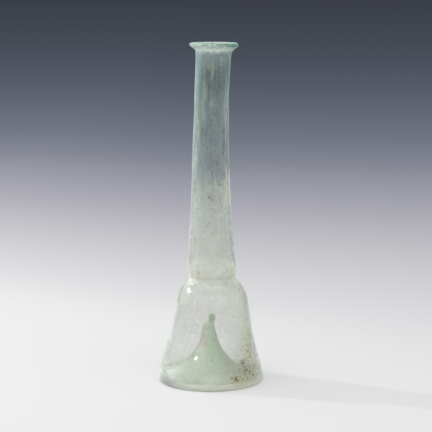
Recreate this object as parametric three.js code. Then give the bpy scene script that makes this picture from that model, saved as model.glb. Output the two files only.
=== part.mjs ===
// A blown glass unguentarium: a small bottle for scented oil, with a tall tapering neck, a bell-shaped
// body and a base pushed up into a tall pointed kick. It is one piece of glass, open at the mouth.
// Millimetres, +Z up. The origin is the centre of the standing ring, on the surface that it stands on.
import * as THREE from "three";

// Driving dimensions.
const HEIGHT = 170; // standing ring to lip
const BODY_RADIUS = 26.7; // at the heel, the widest place
const BODY_HEIGHT = 53; // standing ring to the nipped waist between body and neck
const WAIST_RADIUS = 11.4;
const NECK_FOOT_RADIUS = 12.4; // the slight swelling just above the waist
const NECK_RADIUS = 8.5; // the slim upper neck
const LIP_RADIUS = 11.95;
const BORE_RADIUS = 6.4; // inside the slim upper neck
const WALL = 1.3; // body wall
const FOOT_THICKNESS = 2.3; // glass between the standing ring and the gutter round the kick
const GUTTER_RADIUS = 22.2; // the lowest part of the gutter
const RING_INNER = 17.4; // the flat standing ring
const RING_OUTER = 25.4;
const KICK_HEIGHT = 34; // standing ring to the top of the bead on the kick's spire
const HOLLOW_HEIGHT = 23; // how far the kick is hollow, from below

// How finely the round forms are cut into facets.
const SIDES = 40;

// Hand-made unevenness.
const THIN_SIDE_SHIFT = 0.35; // the bore lies this far towards +X, so the neck wall is thinner there
const FLARE_FULLNESS = 0.6; // the lip's flare is fuller than average by this towards +X
const OUT_OF_ROUND = 0.012; // of the radius, two-lobed

// A smooth curve through points given as [radius, height], without its last point.
function sweep(steps, ...stations) {
  const curve = new THREE.SplineCurve(stations.map(([r, z]) => new THREE.Vector2(r, z)));
  return curve.getSpacedPoints(steps).slice(0, -1);
}

// The value at z of a chain of [height, value] stations, easing from each one to the next.
function eased(z, ...stations) {
  const next = stations.findIndex(([height]) => height > z);
  if (next === 0) return stations[0][1];
  if (next < 0) return stations.at(-1)[1];
  const [[z0, a], [z1, b]] = stations.slice(next - 1, next + 1);
  return THREE.MathUtils.lerp(a, b, THREE.MathUtils.smoothstep(z, z0, z1));
}

// The outline has four stretches. Together they run from the top of the hollow under the kick, out
// along the underside, up the outside, over the lip, down the inside and up the kick to its bead.

// The hollow under the kick, a steep-mouthed funnel that opens onto the standing ring.
function hollow() {
  return [
    new THREE.Vector2(0, HOLLOW_HEIGHT),
    ...sweep(
      9,
      [1.2, HOLLOW_HEIGHT - 1],
      [2.5, 18.5],
      [4.9, 14],
      [8.4, 10.2],
      [12.4, 6.6],
      [15.8, 3.4],
      [RING_INNER, 0],
    ),
  ];
}

// Standing ring, rounded heel, bell-shaped body, nipped waist, tapering neck and the lip's flare.
function outside() {
  return [
    new THREE.Vector2(RING_INNER, 0),
    ...sweep(4, [RING_OUTER, 0], [26.4, 0.5], [BODY_RADIUS, 1.9], [26.2, 4.2]),
    ...sweep(6, [26.2, 4.2], [23.7, 13], [20.5, 25.5], [18.6, 36.5], [17.6, 42]),
    ...sweep(7, [17.6, 42], [16.9, 44.4], [15.9, 46.6], [14.5, 48.8], [12.5, 51], [WAIST_RADIUS, BODY_HEIGHT]),
    ...sweep(4, [WAIST_RADIUS, BODY_HEIGHT], [12, 55], [NECK_FOOT_RADIUS, 57.5], [12.1, 60.5]),
    ...sweep(6, [12.1, 60.5], [11.2, 71.6], [9.85, 91], [9.05, 116], [8.75, 126], [8.6, 134]),
    ...sweep(2, [8.6, 134], [NECK_RADIUS, 144], [NECK_RADIUS, 150], [8.6, 158], [8.72, 163.3]),
    ...sweep(5, [8.72, 163.3], [8.9, 164.8], [9.15, 166], [9.9, 167.1], [11.15, 168.1], [LIP_RADIUS, 168.9]),
    ...sweep(4, [LIP_RADIUS, 168.9], [11.75, 169.6], [11, HEIGHT], [10, 169.8], [9.1, 169.1]),
  ];
}

// Mouth, bore of the neck, inside of the body and the gutter round the kick.
function inside() {
  return [
    ...sweep(4, [9.1, 169.1], [8.2, 167.6], [7.3, 165.4], [6.8, 162.5], [6.5, 158]),
    ...sweep(3, [6.5, 158], [BORE_RADIUS, 148], [BORE_RADIUS, 132], [7.3, 105]),
    ...sweep(6, [7.3, 105], [8.5, 80], [9.7, 66], [10.2, 59], [9.9, 56.3], [9.4, BODY_HEIGHT + 1.2]),
    ...sweep(3, [9.4, BODY_HEIGHT + 1.2], [9.5, BODY_HEIGHT - 0.5], [10.4, 50.9], [11.9, 49.3]),
    ...sweep(4, [11.9, 49.3], [13.4, 47.7], [14.6, 46], [15.5, 43.8], [17.5 - WALL, 41.5]),
    ...sweep(4, [17.5 - WALL, 41.5], [18.6 - WALL, 35.5], [20.6 - WALL, 25.2], [22.3 - WALL, 18.2]),
    ...sweep(6, [22.3 - WALL, 18.2], [23.8, 8.6], [24.35, 5.8], [24, 3.6], [GUTTER_RADIUS, FOOT_THICKNESS]),
  ];
}

// The kick: a trumpet-shaped cone, drawn out into a lumpy spire that ends in a round bead.
function kick() {
  return [
    ...sweep(
      9,
      [GUTTER_RADIUS, FOOT_THICKNESS],
      [17.4, 4.5],
      [13.6, 7.9],
      [9.5, 12.2],
      [6, 17.8],
      [4.6, 21.5],
    ),
    ...sweep(5, [4.6, 21.5], [3.8, 24.6], [2.8, 27], [2.3, 29], [1.45, 30.7]),
    ...sweep(4, [1.45, 30.7], [1.75, 32.4], [1.1, KICK_HEIGHT - 0.3], [0.5, KICK_HEIGHT - 0.05]),
    new THREE.Vector2(0, KICK_HEIGHT),
  ];
}

// Where the centre of each stretch lies along X, by height. The neck bows and the kick stands askew.
const vesselAxis = (z) =>
  eased(z, [16, 0], [45, 0.75], [62, 0.35], [90, 0.05], [118, -0.05], [142, 0.45], [HEIGHT, 1.45]);
const boreAxis = (z) => vesselAxis(z) + eased(z, [60, 0], [90, THIN_SIDE_SHIFT]);
const kickAxis = (z) => eased(z, [0, 0], [6, -0.9], [20, -0.9], [27, -0.75], [32, 0.5]);

// Turns the outline about the axis, then moves each ring to its own centre and gives it its unevenness.
function vesselGeometry() {
  const stretches = [
    [hollow(), kickAxis],
    [outside(), vesselAxis],
    [inside(), boreAxis],
    [kick(), kickAxis],
  ];
  const outline = stretches.flatMap(([points]) => points);
  const centres = stretches.flatMap(([points, axis]) => points.map(({ y: z }) => axis(z)));

  const geometry = new THREE.LatheGeometry(outline, SIDES);
  geometry.rotateX(Math.PI / 2);
  const position = geometry.getAttribute("position");
  for (let i = 0; i < position.count; i++) {
    const x = position.getX(i);
    const y = position.getY(i);
    const z = position.getZ(i);
    const angle = Math.atan2(y, x);
    const flare = eased(z, [164.5, 0], [167.8, 1], [169.3, 0]);
    const oval = eased(z, [0, 0], [10, OUT_OF_ROUND]) * Math.cos(2 * angle + z / HEIGHT);
    const radius = Math.hypot(x, y) * (1 + oval) + FLARE_FULLNESS * flare * Math.cos(angle);
    const onAxis = Math.hypot(x, y) < 1e-6;
    position.setXYZ(
      i,
      (onAxis ? 0 : radius * Math.cos(angle)) + centres[i % outline.length],
      onAxis ? 0 : radius * Math.sin(angle),
      z,
    );
  }
  geometry.computeVertexNormals();
  return geometry;
}

// Pale green glass, faintly clouded by weathering.
function weatheredGlass() {
  return new THREE.MeshStandardMaterial({
    color: 0xc3d3c4,
    roughness: 0.25,
    metalness: 0,
    transparent: true,
    opacity: 0.55,
  });
}

const vessel = new THREE.Mesh(vesselGeometry(), weatheredGlass());
vessel.name = "vessel";

const unguentarium = new THREE.Group();
unguentarium.add(vessel);

export default unguentarium;
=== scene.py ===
# %% [markdown]
# # A blown glass unguentarium
#
# An unguentarium is a small bottle for scented oil. This one is a single skin of blown glass: a flared
# lip, a long tapering neck, a nipped waist, a bell-shaped body, and a base that was pushed up into a
# pointed kick. It is hollow, so light crosses four surfaces on its way through, and what you see is
# mostly how those surfaces bend, tint and cloud the view of what lies behind.
#
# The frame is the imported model. Everything here is in metres and in that model's own frame. A turn is
# measured about the vessel's axis, from the viewer's right: 90 degrees is the far side, 180 the left,
# and 270 the side towards the viewer.

# %% Load the frame
import bpy
import numpy as np
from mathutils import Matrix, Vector


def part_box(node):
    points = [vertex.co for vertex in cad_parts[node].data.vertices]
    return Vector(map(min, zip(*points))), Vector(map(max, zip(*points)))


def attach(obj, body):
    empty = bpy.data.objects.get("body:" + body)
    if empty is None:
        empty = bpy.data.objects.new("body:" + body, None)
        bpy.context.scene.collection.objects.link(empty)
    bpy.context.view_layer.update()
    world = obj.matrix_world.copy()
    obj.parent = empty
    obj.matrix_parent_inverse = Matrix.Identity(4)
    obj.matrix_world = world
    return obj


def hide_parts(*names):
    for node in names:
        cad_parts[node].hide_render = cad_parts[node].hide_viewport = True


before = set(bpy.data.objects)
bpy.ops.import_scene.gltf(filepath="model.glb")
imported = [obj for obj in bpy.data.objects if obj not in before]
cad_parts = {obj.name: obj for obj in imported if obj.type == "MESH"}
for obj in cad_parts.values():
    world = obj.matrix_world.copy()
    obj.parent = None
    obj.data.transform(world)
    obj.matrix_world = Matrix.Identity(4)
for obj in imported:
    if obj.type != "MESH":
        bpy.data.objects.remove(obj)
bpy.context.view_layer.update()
low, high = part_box("vessel")
print("nodes in the frame:", len(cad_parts))
print("the vessel's box:", [round(v * 1000, 1) for v in (*low, *high)], "mm")

# %% [markdown]
# ## Sizes
#
# Stations along the outline are written in millimetres, because that is how a glass vessel is measured.
# One factor turns them into metres. It comes from the frame's own height, so the glass keeps to the
# model that it stands for.

# %% Units and driving sizes
HEIGHT_MM = 170.0  # standing ring to lip
mm = (high.z - low.z) / HEIGHT_MM  # one of the stations' millimetres, in metres
HEEL_MM = (high.x - low.x) / mm / 2  # radius at the heel, the widest place
print("heel radius", round(HEEL_MM, 2), "mm")

# %% [markdown]
# ## The camera
#
# A long lens from a little above gives the calm, nearly parallel view of a museum picture. It is made
# first, so that every later step can be judged through it.

# %% Camera
LENS_MM, SENSOR_MM = 133.05, 36.0
EYE = (0.0026, -0.790, 0.204)
MIDDLE = (0.0026, 0.0, 0.0838)  # about half-way up the vessel


def aim(thing, target):
    """Turns a camera or lamp so that its -Z axis points at target."""
    thing.rotation_euler = (Vector(target) - thing.location).to_track_quat("-Z", "Y").to_euler()


camera = bpy.data.objects.new("camera", bpy.data.cameras.new("camera"))
camera.data.sensor_width = SENSOR_MM
camera.data.lens = LENS_MM
camera.data.clip_end = 60.0
camera.location = EYE
aim(camera, MIDDLE)
bpy.context.scene.collection.objects.link(camera)
bpy.context.scene.camera = camera
print("camera looks down by", round(90 - np.degrees(camera.rotation_euler.x), 2), "degrees")

# %% [markdown]
# ## Colours and nodes
#
# Paint and film colours are written as sRGB hex values, as a colour picker shows them. Blender's shaders
# work in linear light, so one function turns them. One more function adds a node, sets its values and
# links its inputs, which keeps each material readable from top to bottom.

# %% Colours
def linear(hex_colour):
    """An sRGB hex colour as linear RGBA: each channel c becomes ((c + 0.055) / 1.055) ** 2.4.

    Below 0.04045 it becomes c / 12.92, and the alpha is 1.
    """
    channels = np.array([int(hex_colour[i : i + 2], 16) for i in (1, 3, 5)]) / 255
    bright = ((channels + 0.055) / 1.055) ** 2.4
    return (*np.where(channels <= 0.04045, channels / 12.92, bright), 1.0)


print("a mid grey, #808080, is", round(float(linear("#808080")[0]), 3), "in linear light")


# %% Nodes
def add(tree, kind, settings=None, **inputs):
    """Adds a node. settings are its properties; inputs are values or sockets, with _ for a space."""
    node = tree.nodes.new(kind)
    for name, value in (settings or {}).items():
        setattr(node, name, value)
    for name, value in inputs.items():
        socket = node.inputs[int(name[1:])] if name[1:].isdigit() else node.inputs[name.replace("_", " ")]
        if isinstance(value, bpy.types.NodeSocket):
            tree.links.new(value, socket)
        else:
            socket.default_value = value
    return node


def new_material(name):
    """A material with an empty node tree, and its output node."""
    material = bpy.data.materials.new(name)
    material.use_nodes = True
    material.node_tree.nodes.clear()
    return material, material.node_tree, material.node_tree.nodes.new("ShaderNodeOutputMaterial")


# %% [markdown]
# ## The stage
#
# Clear glass has almost no colour of its own, so the stage does half of the work. A pale floor that runs
# back into a dark, graduated distance puts a dark tone behind the neck and a light one behind the body.
#
# The card is brightest in an oval pool to the left of the vessel and a little nearer to the viewer. Its
# tones darken with the distance from that pool: this is a painted pool of light, with a painted falloff
# into the dark. It also glows a little, as if it were lit from below, which keeps the vessel's shadow
# soft and faint.

# %% Tones of the card
FLOOR_TONES = (  # oval distance from the pool in metres, and the tone there
    (0.0, "#fafafb"), (0.2, "#f5f5f5"), (0.32, "#f1f1f1"), (0.355, "#ececed"), (0.405, "#e2e1e4"),
    (0.473, "#d7d6da"), (0.59, "#c5c4ca"), (0.723, "#b2b1bb"), (0.886, "#9fa0ab"), (1.077, "#898d99"),
    (1.308, "#787d8a"), (1.68, "#696f7d"), (2.18, "#5c626f"), (3.08, "#505662"), (4.08, "#495059"),
    (6.08, "#444954"), (10.08, "#40444f"),
)
LAST_TONE = FLOOR_TONES[-1][0]
FLOOR_GREY = "#9a9a9a"  # the share of its tone that the card's paint reflects
FLOOR_GLOW = 0.452  # and the share that it gives off by itself
FLOOR_REACH = 12.0  # metres
# POOL_CENTRE, POOL_WIDTH, LEFT_EDGE and LEFT_SHARE place the painted pool of light on the card.
POOL_CENTRE = (-0.60, -0.08)
POOL_WIDTH = 2.2  # the pool is this many times wider than it is deep
LEFT_EDGE = (-0.2, -0.03)  # between these two places across the card, distances shrink to the left,
LEFT_SHARE = 0.92  # down to this share of themselves, so that it stays bright there for longer
print(len(FLOOR_TONES), "tones, out to", LAST_TONE, "m")


# %% Paint of the card
def pool_distance(tree):
    """The oval distance from the pool: the length of (x - its x) / POOL_WIDTH and y - its y.

    It is multiplied by a factor that runs in a line from 1 down to LEFT_SHARE across LEFT_EDGE.
    """
    place = add(tree, "ShaderNodeTexCoord").outputs["Object"]
    moved = add(tree, "ShaderNodeVectorMath", {"operation": "SUBTRACT"}, _0=place, _1=(*POOL_CENTRE, 0))
    squeezed = add(
        tree, "ShaderNodeVectorMath", {"operation": "MULTIPLY"},
        _0=moved.outputs[0], _1=(1 / POOL_WIDTH, 1, 0),
    )
    oval = add(tree, "ShaderNodeVectorMath", {"operation": "LENGTH"}, _0=squeezed.outputs[0])
    across = add(tree, "ShaderNodeSeparateXYZ", Vector=place).outputs["X"]
    nearer = add(
        tree, "ShaderNodeMapRange", Value=across,
        From_Min=LEFT_EDGE[0], From_Max=LEFT_EDGE[1], To_Min=LEFT_SHARE, To_Max=1.0,
    )
    return add(
        tree, "ShaderNodeMath", {"operation": "MULTIPLY"}, _0=oval.outputs["Value"], _1=nearer.outputs[0],
    ).outputs[0]


def floor_paint():
    """Matt background card, with its tones on a ramp over the square root of distance / LAST_TONE.

    The root gives the near tones, which change fast, most of the ramp. The tones are painted light: a
    bright pool that falls off into a dark distance.
    """
    material, tree, output = new_material("card_with_painted_light_pool")
    distance = pool_distance(tree)
    share = add(tree, "ShaderNodeMath", {"operation": "DIVIDE"}, _0=distance, _1=LAST_TONE)
    root = add(tree, "ShaderNodeMath", {"operation": "POWER"}, _0=share.outputs[0], _1=0.5)
    ramp = add(tree, "ShaderNodeValToRGB", Fac=root.outputs[0])
    stops = ramp.color_ramp.elements
    while len(stops) < len(FLOOR_TONES):
        stops.new(0.5)
    for stop, (reach, tone) in zip(stops, FLOOR_TONES):
        stop.position = (reach / LAST_TONE) ** 0.5
        stop.color = linear(tone)
    shade = add(
        tree, "ShaderNodeMix", {"data_type": "RGBA", "blend_type": "MULTIPLY"},
        Factor=1.0, _6=ramp.outputs["Color"], _7=linear(FLOOR_GREY),
    ).outputs[2]
    matt = add(
        tree, "ShaderNodeBsdfPrincipled", Base_Color=shade, Roughness=0.9, Specular_IOR_Level=0.0,
        Emission_Color=ramp.outputs["Color"], Emission_Strength=FLOOR_GLOW,
    )
    tree.links.new(matt.outputs[0], output.inputs["Surface"])
    return material


paint = floor_paint()
print(len(paint.node_tree.nodes), "nodes in the card's paint")


# %% Floor
def disc(name, radius, z, sides=96):
    """A flat round sheet: one ring of corners at angle 2 pi i / sides."""
    turn = np.arange(sides) * 2 * np.pi / sides
    corners = np.column_stack([radius * np.cos(turn), radius * np.sin(turn), np.full(sides, z)])
    mesh = bpy.data.meshes.new(name)
    mesh.from_pydata(corners.tolist(), [], [tuple(range(sides))])
    sheet = bpy.data.objects.new(name, mesh)
    bpy.context.scene.collection.objects.link(sheet)
    return sheet


FLOOR_GAP = 0.00005  # metres below the standing ring, so that the two surfaces don't fight
floor = disc("floor", FLOOR_REACH, low.z - FLOOR_GAP)
floor.data.materials.append(paint)
print("floor reaches", FLOOR_REACH, "m")

# %% [markdown]
# ## The light
#
# One small lamp from the left, a little behind, casts the faint shadow. It is so small that its mirror
# image in the glass would be a hard speck, so it is hidden from reflections. A larger card in the same
# place makes the glints instead, and is hidden from matt surfaces, so that it doesn't blur the shadow.
#
# Two large soft panels light the edges of the glass from both sides, the left one more. A soft sky fills
# the rest, brightest at the front left.

# %% Lamps
KEY_PLACE = (-0.88, 0.36, 0.60)
PANEL_PLACE = (0.95, 0.50, 0.45)  # of the right one; the left one mirrors it


def panel(name, place, size, watts, target):
    """A soft lamp: a square that shines towards target. It isn't in the picture itself."""
    light = bpy.data.lights.new(name, "AREA")
    light.shape, light.size, light.energy = "SQUARE", size, watts
    lamp = bpy.data.objects.new(name, light)
    lamp.location = place
    aim(lamp, target)
    lamp.visible_camera = False
    bpy.context.scene.collection.objects.link(lamp)
    print(name, "shines with", watts, "W from", size, "m across")
    return lamp


body = (0, 0, 0.06)
level = (0, 0, PANEL_PLACE[2])  # the panels shine level, as high as they stand themselves
key = panel("key_lamp", KEY_PLACE, size=0.015, watts=5.5, target=body)
key.visible_glossy = False
glint = panel("glint_card", KEY_PLACE, size=0.12, watts=3.8, target=body)
glint.visible_diffuse = False
panel("left_panel", (-PANEL_PLACE[0], *PANEL_PLACE[1:]), size=0.9, watts=0.5, target=level)
panel("right_panel", PANEL_PLACE, size=0.9, watts=0.25, target=level)

# %% Sky
HORIZON, OVERHEAD = (0.0, "#9a9da6"), (0.5, "#ffffff")  # height of the direction, and the tone there
FRONT_LEFT = (-0.55, -0.83, 0.0)
SKY_TURN = (-0.6, 0.6)  # from this share of the direction towards the front left to that one,
SKY_STRENGTH = (0.6, 2.1)  # the sky's strength grows from the first of these to the second


def soft_sky():
    """A sky that grows brighter from the horizon up, and round towards the front left.

    Its tone is a ramp over the height z of the direction. Its strength is a line over the share of the
    direction that points to the front left.
    """
    world = bpy.data.worlds.new("soft_sky")
    bpy.context.scene.world = world
    world.use_nodes = True
    tree = world.node_tree
    tree.nodes.clear()
    way = add(tree, "ShaderNodeTexCoord").outputs["Generated"]
    split = add(tree, "ShaderNodeSeparateXYZ", Vector=way)
    ramp = add(tree, "ShaderNodeValToRGB", Fac=split.outputs["Z"])
    for stop, (height, tone) in zip(ramp.color_ramp.elements, (HORIZON, OVERHEAD)):
        stop.position, stop.color = height, linear(tone)
    facing = add(tree, "ShaderNodeVectorMath", {"operation": "DOT_PRODUCT"}, _0=way, _1=FRONT_LEFT)
    strength = add(
        tree, "ShaderNodeMapRange", Value=facing.outputs["Value"],
        From_Min=SKY_TURN[0], From_Max=SKY_TURN[1], To_Min=SKY_STRENGTH[0], To_Max=SKY_STRENGTH[1],
    )
    glow = add(tree, "ShaderNodeBackground", Color=ramp.outputs["Color"], Strength=strength.outputs[0])
    add(tree, "ShaderNodeOutputWorld", Surface=glow.outputs[0])


soft_sky()
print("sky strength:", SKY_STRENGTH[0], "at the far right,", SKY_STRENGTH[1], "at the front left")

# %% [markdown]
# ## The outline
#
# Blown glass has no corners, so its outline is one smooth curve through a few stations. A curve of the
# Catmull-Rom kind passes through every station and takes its direction from the two neighbours, which is
# how a flexible strip bends.

# %% Smooth curves
def smooth_curve(stations, count):
    """count points, evenly spaced, on a curve through stations.

    Between stations b and c, with neighbours a and d, the point at t is the cubic with ends b and c
    and end directions that are the mean slopes over the lengths of the neighbouring chords.
    """
    knots = np.array(stations, float)
    chord = np.linalg.norm(np.diff(knots, axis=0), axis=1)
    along = np.concatenate([[0], np.cumsum(chord)])
    slope = np.gradient(knots, along, axis=0)
    fine = np.linspace(0, along[-1], 60 * len(knots))
    i = np.clip(np.searchsorted(along, fine, side="right") - 1, 0, len(chord) - 1)
    t = ((fine - along[i]) / chord[i])[:, None]
    h = chord[i][:, None]
    points = (
        (2 * t**3 - 3 * t**2 + 1) * knots[i] + (t**3 - 2 * t**2 + t) * h * slope[i]
        + (3 * t**2 - 2 * t**3) * knots[i + 1] + (t**3 - t**2) * h * slope[i + 1]
    )
    length = np.concatenate([[0], np.cumsum(np.linalg.norm(np.diff(points, axis=0), axis=1))])
    even = np.linspace(0, length[-1], count)
    return np.column_stack([np.interp(even, length, points[:, k]) for k in (0, 1)])


def eased(z, *stations):
    """The value at z of a chain of (height, value) stations, with a smooth step t * t * (3 - 2 t) between."""
    heights, values = np.array(stations, float).T
    i = np.clip(np.searchsorted(heights, z, side="right") - 1, 0, len(heights) - 2)
    t = np.clip((z - heights[i]) / (heights[i + 1] - heights[i]), 0, 1)
    return values[i] + (values[i + 1] - values[i]) * t * t * (3 - 2 * t)


print("a quarter of the way, an eased step has done", eased(0.25, (0, 0), (1, 1)), "of its rise")

# %% Stations of the outline, in millimetres: (radius, height)
HOLLOW = [(0, 23), (1.2, 22), (2.5, 18.5), (4.9, 14), (8.4, 10.2), (12.4, 6.6), (15.8, 3.4), (17.4, 0)]
OUTSIDE = [
    (17.4, 0), (21, 0), (25.4, 0), (26.4, 0.5), (HEEL_MM, 1.9), (26.2, 4.2), (23.7, 13), (20.5, 25.5),
    (18.6, 36.5), (17.6, 42), (16.9, 44.4), (15.9, 46.6), (14.5, 48.8), (12.5, 51), (11.4, 53), (12, 55),
    (12.4, 57.5), (12.1, 60.5), (11.2, 71.6), (9.85, 91), (9.05, 116), (8.75, 126), (8.6, 134),
    (8.48, 142), (8.5, 150), (8.6, 158), (8.72, 163.3), (8.9, 164.8), (9.15, 166), (9.9, 167.1),
    (11.25, 168), (12, 168.8), (11.85, 169.65), (11.2, HEIGHT_MM + 0.1), (10.2, 169.95), (9.1, 169.1),
]
INSIDE = [
    (9.1, 169.1), (8.2, 167.6), (7.3, 165.4), (6.8, 162.5), (6.5, 158), (6.4, 148), (6.4, 132), (7.3, 105),
    (8.5, 80), (9.7, 66), (10.2, 59), (9.9, 56.3), (9.4, 54.2), (9.5, 52.5), (10.4, 50.9), (11.9, 49.3),
    (13.4, 47.7), (14.6, 46), (15.5, 43.8), (16.2, 41.5), (17.3, 35.5), (19.3, 25.2), (21, 18.2),
    (23.8, 8.6), (24.35, 5.8), (24.0, 3.6), (22.2, 2.3),
]
KICK = [
    (22.2, 2.3), (17.4, 4.5), (13.6, 7.9), (9.3, 12.5), (8.2, 14.1), (6.0, 17.8), (4.4, 21.5),
    (3.5, 24.6), (2.5, 27), (2.0, 29), (1.45, 30.7), (1.75, 32.4), (1.1, 33.7), (0, 34),
]
RINGS = {"hollow": 45, "outside": 215, "inside": 170, "kick": 70}  # one to a millimetre or closer
SIDES = 196  # points round each ring
print("the bore is", 2 * min(r for r, z in INSIDE), "mm wide where it is narrowest")

# %% [markdown]
# ## Unevenness
#
# Glass that is blown and tooled by hand is never true. The neck bows a little, the bore lies off centre,
# and the wall ripples. Ripples matter most: each one is a weak lens, and together they break the view
# through the wall into soft vertical streaks.

# %% Where each ring has its centre: how far it lies to the right, in millimetres
def vessel_axis(z):
    """The vessel bows by eased steps: right at the shoulder, back on the neck, and right at the lip."""
    return eased(z, (16, 0), (45, 0.75), (62, 0.35), (90, 0.05), (118, -0.05), (142, 0.45), (170, 1.45))


def bore_axis(z):
    """The vessel's axis plus a shift that grows up the neck, so the wall is thicker at its left."""
    return vessel_axis(z) + eased(z, (60, 0), (90, 0.35))


def kick_axis(z):
    """The kick leans left, and its tip hooks back to the right."""
    return eased(z, (0, 0), (6, -0.9), (20, -0.9), (27, -0.6), (32, 0.5))


print("the lip's centre lies", round(float(vessel_axis(np.float64(HEIGHT_MM))), 2), "mm to the right")

# %% How far a ring leaves the circle
OUT_OF_ROUND = 0.012  # share of the radius
FLARE = ((164.5, 0), (167.8, 1), (169.3, 0))  # where the lip flares, by height,
FLARE_FULLNESS = 0.6  # and how many millimetres further it does so at the right
FREE = ((0, 0), (9, 1))  # the standing ring stays round: the oval and the ripples set in above it
OUTER_DEPTH, INNER_DEPTH = ((40, 0.08), (60, 0.03)), ((50, 0.05), (75, 0.1))  # of the ripples, by height
OUTER_WAVES = dict(waves=9, seed=1, lobes=(2, 7), run=(35, 90))
INNER_WAVES = dict(waves=14, seed=2, lobes=(2, 12), run=(30, 120))
CALM = ((20, 1), (24, 0.4))  # above the foot of the body the ripples are weaker,
SLIM = 9  # and they fade with the radius where it is below this one
print("out of round by", round(OUT_OF_ROUND * HEEL_MM, 2), "mm at the heel")


def ripple(turn, z, waves, seed, lobes, run):
    """A sum of waves cos(n turn + 2 pi z / run + phase), with a random whole n in lobes, over sqrt(waves)."""
    rng = np.random.default_rng(seed)
    total = np.zeros(np.broadcast(turn, z).shape)
    for _ in range(waves):
        n = rng.integers(*lobes)
        length = rng.uniform(*run) * rng.choice([-1, 1])
        total += np.cos(n * turn + 2 * np.pi * z / length + rng.uniform(0, 2 * np.pi))
    return total / waves**0.5


def spot(turn, r, z, height, degrees, up, around):
    """One at a place on the glass, and less round it: exp(-((z - height) / up) ** 2 - (arc / around) ** 2).

    The arc is r times the turn from degrees, the short way round, so it is a length as z is.
    """
    arc = ((turn - np.radians(degrees) + np.pi) % (2 * np.pi) - np.pi) * r
    return np.exp(-(((z - height) / up) ** 2) - (arc / around) ** 2)


# %% Marks of the tools on the kick
LUMPS = [(24.8, 1.6, 0.8), (28.0, 1.9, 1.3)]  # up the left of its spire: height, reach and size
SPIRE = 5  # the lumps keep to where the radius is below this
FLAT = (13, 215, 6, 2.5)  # a flat at its front left: height, turn in degrees, reach up and reach round
FLAT_DEPTH = 0.25
KICK_WIDTH = 20  # at the flat's height, an inner radius below this is the kick's


def lumps(turn, z):
    """Each lump is size exp(-((z - height) / reach) ** 2), times how far the turn points to the left."""
    leftness = np.maximum(-np.cos(turn), 0)
    return sum(size * np.exp(-(((z - height) / reach) ** 2)) * leftness for height, reach, size in LUMPS)


print(len(LUMPS), "lumps on the spire, and a flat", FLAT_DEPTH, "mm deep")

# %% [markdown]
# ## The weathering, and painted shade and light
#
# Glass that has lain in the ground is leached from its surface inwards. It gets a milky film, thick here
# and thin there, stained by the soil, and in places pits that hold a brown crust.
#
# A noise could lay such a film anywhere, but on this vessel the places matter: milk at the waist, crust
# low on the right, a stripe up the neck. So the amount of film, its tone and the pitting are worked out
# at each point of the mesh and kept there as attributes. They start from values by height, and soft
# oval patches are laid over them, one after another, as a restorer would touch in a surface.
# Some patches, and the dark tone at the foot, are painted shade or painted light, not weathering.

# %% How much of the surface is clouded, by height in millimetres
FILM = {
    "hollow": ((0, 0.85), (23, 0.85)),
    "outside": (
        # The thick film at the foot, with its dark tone, is partly weathering and partly painted contact
        # shadow.
        (0, 0.9), (1.2, 0.75), (2.6, 0.52), (5, 0.35), (8, 0.17), (14, 0.09), (48, 0.12), (52.2, 0.36),
        (54.8, 0.36), (57.5, 0.23), (75, 0.21), (95, 0.18), (110, 0.08), (164, 0.06), (168.5, 0.2),
        (169.6, 0.4),
    ),
    "inside": (
        (2, 0.35), (4.2, 0.3), (6.2, 0.15), (8, 0.11), (20, 0.1), (43, 0.12), (48, 0.26), (53, 0.32),
        (57.5, 0.2), (90, 0.17), (110, 0.1), (164, 0.07), (168.5, 0.2),
    ),
    "kick": ((3, 0.4), (5, 0.55), (20, 0.6), (27, 0.62), (30, 0.6), (34, 0.6)),
}
LEAST_FILM, MOST_FILM = 0.01, 0.95
print("film on the outside, from the standing ring up:", [share for _, share in FILM["outside"]])

# %% The film's colour, by height: off-white on the waist and the kick, blue-green on the neck
TONE = {
    "hollow": ((0, "#f4f8f0"), (30, "#f0faea")),
    "outside": (
        # The dark tone at the foot, up to about 2.6 mm, is painted contact shadow under the heel.
        (0, "#bcc0ae"), (1, "#bcc2b0"), (2.6, "#eef0e4"), (5, "#e4e8da"), (14, "#c6c5b4"),
        (44, "#c6c6b6"), (49, "#e6e8e0"), (52, "#fafaf4"), (56, "#fafaf4"), (62, "#eff1e8"),
        (95, "#e2e9dc"), (110, "#c6d6ce"), (135, "#bedcd2"), (168, "#a8d8c6"), (169.4, "#94bcac"),
    ),
    "inside": (
        (0, "#e8f0da"), (6, "#e8f0dc"), (12, "#cac9b8"), (42, "#c8c7b6"), (48, "#eceee6"),
        (56, "#fafaf4"), (62, "#f2f3ea"), (95, "#e2e9dc"), (110, "#c6d6ce"), (135, "#bedcd2"),
        (168, "#a8d8c6"), (170, "#94c4b0"),
    ),
    "kick": (
        (0, "#ecf6e2"), (4, "#ecfae6"), (7, "#ecfae4"), (20, "#e2f4da"), (24, "#ecf9e4"),
        (29.6, "#ecf9e4"), (31.4, "#b4ceac"), (34, "#9cb896"),
    ),
}
print(sum(map(len, TONE.values())), "stations of colour")

# %% How pitted it is, by height: little on the body, more on the neck and the kick
WALL_PITS = ((60, 0.19), (100, 0.42))
KICK_PITS = ((0, 0.42), (34, 0.42))
PITTING = {"hollow": WALL_PITS, "outside": WALL_PITS, "inside": WALL_PITS, "kick": KICK_PITS}
print("pitting of the body", WALL_PITS[0][1], "and of the neck", WALL_PITS[1][1])
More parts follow.
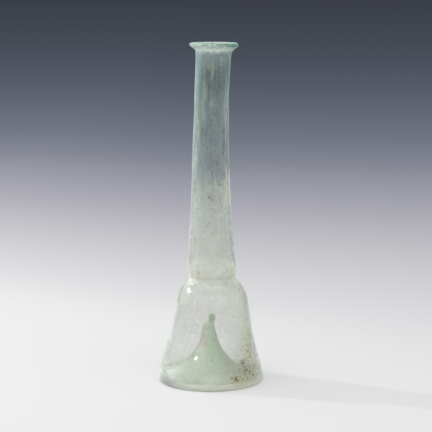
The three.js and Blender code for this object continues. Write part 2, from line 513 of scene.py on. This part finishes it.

# %% Patches, in the order in which they are laid: a later one lies over an earlier one
# Some patches below are weathering, and some are painted shade or light; their comments say which.
PATCHES = [  # surface, height, turn in degrees, reach up, reach round, more film, its tone, pitting
    # Both flanks of the body are milkier, and the inner wall is yellow-green towards the right.
    ("outside", 24, 190, 20, 7, 0.12, "#f4f5f0", 0.15),
    ("outside", 32, 352, 24, 7, 0.16, "#e0e2c0", 0.15),
    ("inside", 30, 335, 20, 10, 0.12, "#dee2b2", 0.15),
    # The neck: white at its right edge, a milky film that partly paints light onto that edge, a grey stripe
    # up its left, which is painted shade, faint streaks above and cream below.
    ("outside", 99, 348, 12, 4, 0.4, "#f2f4f2", 0.15),
    ("outside", 134, 201, 28, 3.2, 0.64, "#839495", 0.0),
    ("outside", 155, 276, 14, 1.8, 0.05, "#b6bcb2", 0.2),
    ("outside", 158, 260, 10, 3.4, 0.1, "#a4b6b4", 0.3),
    ("outside", 88, 318, 22, 6, 0.12, "#ecefdc", 0.15),
    # A dull spot of film at the left of the waist takes away a second glint, and its dark tone is painted
    # shade there. The shoulder's right is milkier.
    ("outside", 51.7, 217, 1.2, 2.6, 0.6, "#a2a89e", 0.0),
    ("outside", 46, 336, 5, 8, 0.25, "#d9ddcd", 0.15),
    # The middle of the neck has a lilac-grey bloom.
    ("outside", 120, 255, 14, 5, -0.02, "#c8c8d0", 0.3),
    # Brown crust low on the right fades upwards into tan, and into grey at the edge.
    ("outside", 9, 316, 9, 9, 0.28, "#c6c1a7", 0.9),
    ("outside", 18, 328, 9, 7, 0.26, "#cac4a8", 0.84),
    ("outside", 6, 300, 3, 5, 0.10, "#b8b290", 0.95),
    ("outside", 13, 312, 2, 3, 0.10, "#a49c7c", 1.0),
    ("outside", 25, 335, 5, 3, 0.10, "#b8b294", 0.9),
    ("outside", 5, 345, 5, 6, 0.25, "#c8cec2", 0.2),
    # The body is yellow-green on the right and yellowish on its left shoulder.
    ("outside", 30, 326, 13, 4, 0.18, "#c8d0a0", 0.2),
    ("outside", 43, 214, 3, 4, 0.15, "#dedcc0", 0.2),
    # In front of the kick's spire it is pale on the right and rosy on the left and above.
    ("outside", 23, 288, 5, 3, 0.18, "#eef2ee", 0.0),
    ("outside", 23, 258, 5, 4, 0.2, "#d4c4c8", 0.4),
    ("outside", 35, 250, 8, 8, 0.06, "#d8ccd0", 0.3),
    # The waist is yellowish at its right and rosy and pitted at its left.
    ("outside", 56, 322, 3, 3, 0.2, "#dcdcb4", 0.3),
    ("outside", 57, 237, 2.5, 5, 0.15, "#d8ccc0", 0.6),
    # The lower neck is grey up its left edge, as painted shade. Its right edge is yellowish above and bluish
    # below.
    ("outside", 64, 200, 10, 3.5, 0.3, "#a2a69e", 0.6),
    ("outside", 93, 198, 18, 3, 0.3, "#8e9995", 0.2),
    ("outside", 94, 349, 5, 3, 0.15, "#dee2c6", 0.2),
    ("outside", 84, 347, 3, 3, 0.15, "#b4dcd8", 0.0),
    # A brown scab in its middle, a row of pits down the right of the neck, and brown streaks above.
    ("outside", 95, 265, 2, 2, 0.12, "#a8a37c", 0.5),
    ("outside", 122, 316, 14, 1.6, 0.06, "#74786c", 1.0),
    ("outside", 144, 278, 5, 1.8, 0.08, "#aca69a", 0.45),
    ("outside", 146, 262, 14, 3.4, 0.12, "#b4b3a8", 0.4),
    ("outside", 160, 285, 10, 3, 0.03, "#a6aa9c", 0.4),
    # The upper neck is darkened by painted shade: a dark column at its front left, dark teal at its right,
    # bluish at its left, and grey on the inside at its left.
    ("outside", 152, 227, 20, 2.6, 0.36, "#5c6f71", 0.0),
    ("outside", 152, 301, 15, 3.4, 0.2, "#4f6663", 0.25),
    ("outside", 157, 330, 12, 3.6, 0.55, "#536b68", 0.2),
    ("outside", 161, 208, 9, 4, 0.4, "#72848c", 0.1),
    ("inside", 140, 192, 30, 2.6, 0.38, "#8a9c9e", 0.0),
    # The lip: deep green at its right, a light band along its front, and darker at its left tip, by painted
    # shade. Inside at its back right, dark film is painted shade over a glint.
    ("outside", 168.5, 338, 3, 7, 0.4, "#4a8062", 0.0),
    ("inside", 168, 332, 3, 6, 0.35, "#4a8062", 0.0),
    ("outside", 168.7, 240, 1.6, 6, 0.2, "#cbd7cf", 0.0),
    ("outside", 167.0, 272, 1.3, 11, 0.38, "#eef8ee", 0.0),
    ("outside", 168.8, 182, 1.8, 4, 0.6, "#6c867a", 0.0),
    ("inside", 168, 235, 2.5, 8, 0.10, "#c0ccc4", 0.0),
    ("inside", 165.5, 38, 4, 4, 0.7, "#6f8c82", 0.0),
    # The kick: greenest at its right, pitted near its tip, and sound and glossy on its flat,
    ("kick", 17, 290, 8, 6, 0.05, "#cbecc8", 0.3),
    ("kick", 28, 262, 3, 3, 0.05, "#d4e8cc", 0.65),
    ("kick", 13.2, 215, 2.5, 2, -0.6, "#f2faf0", 0.0),
    # greyer at its left, by painted shade where the lamps light it most, whitish at its left foot, and rosy
    # above the flat.
    ("kick", 10, 200, 8, 8, 0.0, "#dce8d4", 0.3),
    ("kick", 3, 184, 2, 9, 0.4, "#f4f2fa", 0.2),
    ("kick", 20, 215, 4, 3, 0.1, "#dcc8c8", 0.5),
    # The shoulder is grey inside at its front left, by painted shade, and whitish outside at its right.
    ("inside", 38, 230, 13, 10, 0.08, "#b4b4a6", 0.2),
    ("inside", 42, 262, 6, 7, 0.03, "#b8baa8", 0.2),
    ("outside", 40, 310, 11, 9, 0.1, "#f6f8f0", 0.2),
    # Film lies thick in the gutter round the foot of the kick, at the front and at the left.
    ("inside", 3, 264, 2.6, 23, 0.5, "#e8f0dc", 0.0),
    ("inside", 3.4, 165, 2.8, 20, 0.5, "#f6f6f8", 0.0),
    # The outside is whitish low at the left, over a heel darkened at its left by painted shade.
    ("outside", 8, 217, 4.6, 8, 0.22, "#f3f4fa", 0.0),
    ("outside", 1.6, 213, 2.6, 9, 0.1, "#838582", 0.0),
]
print(len(PATCHES), "patches")


# %% Film, tone and pitting of one stretch of the surface
def weathering(name, r, z, turn):
    """Three layers over rings of radius r at height z: film, its tone and the pitting.

    Each patch has a share of each point, given by spot(). Film grows by more times that share, the tone
    moves to the patch's by it, and pitting is the larger of what it was and the patch's times it. Some
    patches, and the dark tone at the foot, paint shade or light into the tone.
    """
    size = (len(z), turn.size)
    film = np.broadcast_to(eased(z, *FILM[name])[:, None], size)
    pits = np.broadcast_to(eased(z, *PITTING[name])[:, None], size)
    heights, colours = zip(*TONE[name])
    channels = zip(*map(linear, colours))
    tone = np.stack([eased(z, *zip(heights, channel)) for channel in channels], axis=-1)
    tone = np.broadcast_to(tone[:, None], (*size, 4))
    for surface, height, degrees, up, around, more, colour, pitting in PATCHES:
        if surface == name:
            share = spot(turn[None, :], r[:, None], z[:, None], height, degrees, up, around)
            film = film + more * share
            tone = tone + share[..., None] * (np.array(linear(colour)) - tone)
            pits = np.maximum(pits, pitting * share)
    return np.clip(film, LEAST_FILM, MOST_FILM), tone, pits


# %% [markdown]
# ## The skin of glass
#
# The whole vessel is one surface of two parameters: how far along the outline, and the turn about the
# axis. It runs from the top of the hollow under the kick, out along the underside, up the outside, over
# the lip, down the inside and up the kick to its bead, so it closes on itself and holds real glass.
#
# A Screw modifier could spin the same outline, but then every ring would be true and round. Two shells,
# one inside the other, would leave the lip and the foot to be joined.

# %% The rings, from the hollow's top to the kick's bead
STRETCHES = [
    ("hollow", HOLLOW, kick_axis), ("outside", OUTSIDE, vessel_axis),
    ("inside", INSIDE, bore_axis), ("kick", KICK, kick_axis),
]


def stretch_rings(name, stations, axis, turn):
    """Radius, height, centre and side of each ring of one stretch, and its weathering.

    The side is 1 for a ring that faces the inside of the vessel, and 0 for one that faces out.
    """
    curve = smooth_curve(stations, RINGS[name])
    if name != "kick":
        curve = curve[:-1]  # the next stretch begins with that ring
    r, z = curve[:, 0], np.maximum(curve[:, 1], 0)
    side = np.full(len(r), float(name in ("inside", "kick")))
    return r, z, axis(z), side, *weathering(name, r, z, turn)


turn = np.arange(SIDES) * 2 * np.pi / SIDES
layers = zip(*(stretch_rings(*stretch, turn) for stretch in STRETCHES))
ring_r, ring_z, ring_x, ring_side, film, tone, pits = map(np.concatenate, layers)
print(len(ring_r), "rings, the first and the last of them only poles")


# %% The points
def skin_points(turn, r, z, centre, wall):
    """Points centre + radius (cos turn, sin turn) at height z, and a pole at each end.

    The radius is r (1 + oval) + lumps - flat + flare + ripples. The oval goes as cos(2 turn), and the
    flare of the outside as cos(turn). The inside and the outside have ripples of their own.
    """
    free = eased(z, *FREE)
    oval = OUT_OF_ROUND * free * np.cos(2 * turn + z / HEIGHT_MM)
    depth = eased(z, *OUTER_DEPTH) * (1 - wall) + eased(z, *INNER_DEPTH) * wall
    waves = depth * np.where(wall, ripple(turn, z, **INNER_WAVES), ripple(turn, z, **OUTER_WAVES))
    flat = FLAT_DEPTH * spot(turn, r, z, *FLAT) * wall * (r < KICK_WIDTH)
    flare = FLARE_FULLNESS * eased(z, *FLARE) * np.cos(turn) * (1 - wall)
    radius = r * (1 + oval) + lumps(turn, z) * (r < SPIRE) - flat + flare
    radius = radius + waves * free * eased(z, *CALM) * np.minimum(r / SLIM, 1)
    x, y = radius * np.cos(turn), radius * np.sin(turn)
    rings = np.stack([x + centre, y, np.broadcast_to(z, x.shape)], axis=-1)[1:-1]
    first, last = ([centre[end, 0], 0, z[end, 0]] for end in (0, -1))
    return np.concatenate([[first], rings.reshape(-1, 3), [last]]) * mm


def at_points(layer):
    """The values of a layer in the order of the points: one at each pole, and all round each ring."""
    middle = layer[1:-1].reshape(-1, *layer.shape[2:])
    return np.concatenate([layer[:1, 0], middle, layer[-1:, 0]])


points = skin_points(turn[None, :], *(part[:, None] for part in (ring_r, ring_z, ring_x, ring_side)))
print("points span", (np.ptp(points, axis=0) * 1000).round(1), "mm")


# %% The faces
def closed_skin(ring_count, sides):
    """Faces of a lathe: quads between rings, and a fan of triangles at each pole. They point outwards."""
    ring, side = np.mgrid[0 : ring_count - 1, 0:sides]
    after = (side + 1) % sides
    a, b = 1 + ring * sides + side, 1 + ring * sides + after
    quads = np.stack([a, b, b + sides, a + sides], axis=-1).reshape(-1, 4)
    near = np.arange(sides)
    far = (near + 1) % sides
    base, top = 1 + (ring_count - 1) * sides, 1 + ring_count * sides
    start = np.column_stack([np.zeros(sides, int), 1 + far, 1 + near])
    end = np.column_stack([base + near, base + far, np.full(sides, top)])
    return quads.tolist() + start.tolist() + end.tolist()


mesh = bpy.data.meshes.new("blown_glass_vessel")
mesh.from_pydata(points.tolist(), [], closed_skin(len(ring_r) - 2, SIDES))
mesh.polygons.foreach_set("use_smooth", np.ones(len(mesh.polygons), bool))
triangles = sum(len(face.vertices) - 2 for face in mesh.polygons)
print("vessel:", triangles, "triangles")

# %% The weathering, with its painted shade and light, goes onto the mesh, and the mesh into the scene
for label, kind, field, layer in (
    ("film", "FLOAT", "value", film), ("film_tone_and_painted_light", "FLOAT_COLOR", "color", tone),
    ("pitting", "FLOAT", "value", pits),
):
    values = at_points(layer).astype(np.float32).ravel()
    mesh.attributes.new(label, kind, "POINT").data.foreach_set(field, values)
    print(label, "runs from", round(float(values.min()), 2), "to", round(float(values.max()), 2))
mesh.update()
vessel = bpy.data.objects.new("blown_glass_vessel", mesh)
bpy.context.scene.collection.objects.link(vessel)

# %% [markdown]
# ## The glass
#
# Old soda-lime glass: pale green from iron in the sand, glossy where it is sound, and clouded where the
# soil has leached it. The bend comes from its IOR of 1.5, and the green from absorption over the length
# of the path, so that thick places such as the kick and the lip are deeper in tone.
#
# A film could be a half-clear coat all over, but then the glints would dull everywhere at once. Here it
# is a crowd of flakes, too fine to be seen one by one: between them the glass is sound and clear.

# %% Sizes of the patterns, in millimetres
CLOUD = 25 / 3  # thick and thin places in the film
CURD = 10 / 7  # the spots that it breaks up into
STREAK = 5 / 3  # width of the streaks that the blower drew up the neck
STREAK_RUN = 6.25  # how many times longer than wide they are
STAIN = 100 / 19  # a change of the film's hue
SCAB = 10 / 9  # spacing of the pits; real ones are finer, and are drawn this coarse to show
NECK = (0.07, 0.12)  # metres: the streaks set in between these heights


def cells(size):
    """The scale of a noise with cells of that many millimetres: how many there are to a metre."""
    return 1000 / size


print("the curds' noise has a scale of", round(cells(CURD)))

# %% How patchy the film is
CLOUD_SWING, CURD_SWING, STREAK_SWING = 1.5, 8.0, 10.0  # what each noise adds, from its least to its most
BARE, THICK = 2.95, 6.35  # from the first sum of the noises to the second,
RICHEST = 3.2  # film runs from none to this many times its amount


def patchiness(tree, place):
    """About 1 on average: a line from 0 at BARE to RICHEST at THICK over a sum of three noises.

    The clouds and the streaks are added from their middle. The streaks set in over the height of NECK.
    """
    cloud = add(tree, "ShaderNodeTexNoise", Vector=place, Scale=cells(CLOUD), Detail=2.0).outputs["Fac"]
    curds = add(
        tree, "ShaderNodeTexNoise", Vector=place, Scale=cells(CURD), Detail=4.0, Roughness=0.75,
    ).outputs["Fac"]
    drawn = add(
        tree, "ShaderNodeVectorMath", {"operation": "MULTIPLY"}, _0=place, _1=(1, 1, 1 / STREAK_RUN),
    ).outputs[0]
    streaks = add(tree, "ShaderNodeTexNoise", Vector=drawn, Scale=cells(STREAK), Detail=2.0).outputs["Fac"]
    height = add(tree, "ShaderNodeSeparateXYZ", Vector=place).outputs["Z"]
    on_neck = add(
        tree, "ShaderNodeMapRange", Value=height,
        From_Min=NECK[0], From_Max=NECK[1], To_Min=0.0, To_Max=STREAK_SWING,
    ).outputs[0]
    uneven = add(
        tree, "ShaderNodeMath", {"operation": "MULTIPLY_ADD"}, _0=cloud, _1=CLOUD_SWING, _2=-CLOUD_SWING / 2,
    ).outputs[0]
    uneven = add(
        tree, "ShaderNodeMath", {"operation": "MULTIPLY_ADD"}, _0=curds, _1=CURD_SWING, _2=uneven,
    ).outputs[0]
    streaky = add(tree, "ShaderNodeMath", {"operation": "SUBTRACT"}, _0=streaks, _1=0.5).outputs[0]
    uneven = add(
        tree, "ShaderNodeMath", {"operation": "MULTIPLY_ADD"}, _0=streaky, _1=on_neck, _2=uneven,
    ).outputs[0]
    return add(
        tree, "ShaderNodeMapRange", Value=uneven, From_Min=BARE, From_Max=THICK, To_Min=0.0, To_Max=RICHEST,
    ).outputs[0]


print("patchiness where all noises are 0.5:", round((CURD_SWING / 2 - BARE) / (THICK - BARE) * RICHEST, 2))

# %% Where the film lies
LOOSE, EVEN = (0.25, 1.0), (0.65, 0.2)  # amount of film, and its room for patchiness there
print("room for patchiness: from", LOOSE[1], "in thin film down to", EVEN[1], "in thick")


def film_cover(tree, place, amount):
    """The share of a place that the film covers, and its room for patchiness.

    The share is amount (1 + room (patchy - 1)), held between 0 and 1. The room falls in a line where
    there is more film, because thick film is even.
    """
    patchy = patchiness(tree, place)
    room = add(
        tree, "ShaderNodeMapRange", Value=amount,
        From_Min=LOOSE[0], From_Max=EVEN[0], To_Min=LOOSE[1], To_Max=EVEN[1],
    ).outputs[0]
    swing = add(tree, "ShaderNodeMath", {"operation": "SUBTRACT"}, _0=patchy, _1=1.0).outputs[0]
    swing = add(tree, "ShaderNodeMath", {"operation": "MULTIPLY_ADD"}, _0=swing, _1=room, _2=1.0).outputs[0]
    cover = add(
        tree, "ShaderNodeMath", {"operation": "MULTIPLY", "use_clamp": True}, _0=amount, _1=swing,
    ).outputs[0]
    return cover, room


# %% Its stain
STAINS = ((0.36, "#f2eeee"), (0.5, "#f8faf4"), (0.64, "#f2f4dc"))  # lilac here, yellow-green there
CRUST = "#8e886e"  # brown soil
print(len(STAINS), "hues in the stain")


def stained(tree, place, tone, room):
    """The film's own tone times the stain, which is a ramp over a noise and weaker where film is thick."""
    hue = add(tree, "ShaderNodeTexNoise", Vector=place, Scale=cells(STAIN), Detail=2.0).outputs["Fac"]
    stain = add(tree, "ShaderNodeValToRGB", Fac=hue)
    stops = stain.color_ramp.elements
    stops.new(0.5)
    for stop, (at, shade) in zip(stops, STAINS):
        stop.position, stop.color = at, linear(shade)
    return add(
        tree, "ShaderNodeMix", {"data_type": "RGBA", "blend_type": "MULTIPLY"},
        Factor=room, _6=tone, _7=stain.outputs["Color"],
    ).outputs[2]


# %% Its pits
BAR = (0.74, 0.50)  # how high the noise has to rise without pitting, and where it is full
print("the bar falls by", round(BAR[0] - BAR[1], 2))


def scabs(tree, place):
    """One where a fine noise rises above a bar, and zero elsewhere. The bar is lower where it is pitted."""
    grain = add(
        tree, "ShaderNodeTexNoise", Vector=place, Scale=cells(SCAB), Detail=4.0, Roughness=0.65,
    ).outputs["Fac"]
    pitting = add(tree, "ShaderNodeAttribute", {"attribute_name": "pitting"}).outputs["Fac"]
    bar = add(tree, "ShaderNodeMapRange", Value=pitting, To_Min=BAR[0], To_Max=BAR[1]).outputs[0]
    return add(tree, "ShaderNodeMath", {"operation": "GREATER_THAN"}, _0=grain, _1=bar).outputs[0]


# %% Weathered glass
CLEAR_GLASS = "#fefefe"
SMOOTH, CHALKY = 0.03, 0.8  # roughness of sound glass and of film
THIN, DENSE = (0.15, 0.55), (0.8, 0.92)  # amount of film, and how opaque its flakes are there
IRON_GREEN, DENSITY = "#b4dec6", 32.0  # of the absorption, per metre of glass
GLASS_IOR = 1.5  # typical of soda-lime glass
DUST, BLOOM, BLOOM_SPREAD = "#e4f0f0", 0.65, 0.4  # tint, weight and roughness of the sheen


def weathered_glass():
    """Free-blown soda-lime glass, clouded by burial.

    Blowing leaves a fire-polished skin, so sound glass is smooth: crisp glints and a clear view through.
    Burial leaves flakes that scatter light: a matt bloom, palest at the edges, where it is seen aslant.
    That paleness is the sheen.
    """
    material, tree, output = new_material("weathered_soda_lime_glass")
    place = add(tree, "ShaderNodeTexCoord").outputs["Object"]
    amount = add(tree, "ShaderNodeAttribute", {"attribute_name": "film"}).outputs["Fac"]
    # The film's tone holds its colour, and in places painted shade or painted light.
    tone = add(tree, "ShaderNodeAttribute", {"attribute_name": "film_tone_and_painted_light"}).outputs["Color"]
    cover, room = film_cover(tree, place, amount)
    tone = stained(tree, place, tone, room)
    # White noise below the cover is a flake of film.
    noise = add(tree, "ShaderNodeTexWhiteNoise", Vector=place).outputs["Value"]
    flakes = add(tree, "ShaderNodeMath", {"operation": "LESS_THAN"}, _0=noise, _1=cover).outputs[0]
    scab = scabs(tree, place)
    crust = add(
        tree, "ShaderNodeMix", {"data_type": "RGBA", "blend_type": "MULTIPLY"},
        Factor=1.0, _6=tone, _7=linear(CRUST),
    ).outputs[2]
    colour = add(
        tree, "ShaderNodeMix", {"data_type": "RGBA"}, Factor=flakes, _6=linear(CLEAR_GLASS), _7=tone,
    ).outputs[2]
    colour = add(tree, "ShaderNodeMix", {"data_type": "RGBA"}, Factor=scab, _6=colour, _7=crust).outputs[2]
    matter = add(tree, "ShaderNodeMath", {"operation": "MAXIMUM"}, _0=flakes, _1=scab).outputs[0]
    rough = add(tree, "ShaderNodeMapRange", Value=matter, To_Min=SMOOTH, To_Max=CHALKY).outputs[0]
    dense = add(
        tree, "ShaderNodeMapRange", Value=amount,
        From_Min=THIN[0], From_Max=DENSE[0], To_Min=THIN[1], To_Max=DENSE[1],
    ).outputs[0]
    milk = add(tree, "ShaderNodeMath", {"operation": "MULTIPLY"}, _0=matter, _1=dense).outputs[0]
    clear = add(tree, "ShaderNodeMath", {"operation": "SUBTRACT"}, _0=1.0, _1=milk).outputs[0]
    glass = add(
        tree, "ShaderNodeBsdfPrincipled", Base_Color=colour, Roughness=rough, IOR=GLASS_IOR,
        Transmission_Weight=clear, Sheen_Weight=BLOOM, Sheen_Roughness=BLOOM_SPREAD,
        Sheen_Tint=linear(DUST),
    )
    depth = add(tree, "ShaderNodeVolumeAbsorption", Color=linear(IRON_GREEN), Density=DENSITY)
    tree.links.new(glass.outputs[0], output.inputs["Surface"])
    tree.links.new(depth.outputs[0], output.inputs["Volume"])
    return material


# %% The vessel's place in the model
vessel.data.materials.append(weathered_glass())
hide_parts("vessel")
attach(vessel, "root")
print(len(vessel.data.materials[0].node_tree.nodes), "nodes in the glass")

# %% [markdown]
# ## Rendering
#
# A ray that crosses the body and the kick passes up to a dozen surfaces, so it needs more bounces than
# a scene of solid things. Light that arrives by many bounces isn't clamped, or its glints would dim.

# %% Ray depth and tone
scene = bpy.context.scene
scene.cycles.max_bounces = 28
scene.cycles.transmission_bounces = 24
scene.cycles.glossy_bounces = 12
scene.cycles.sample_clamp_indirect = 0.0
scene.cycles.use_denoising = True
scene.view_settings.view_transform = "Standard"
print("a ray may cross", scene.cycles.transmission_bounces, "surfaces of glass")
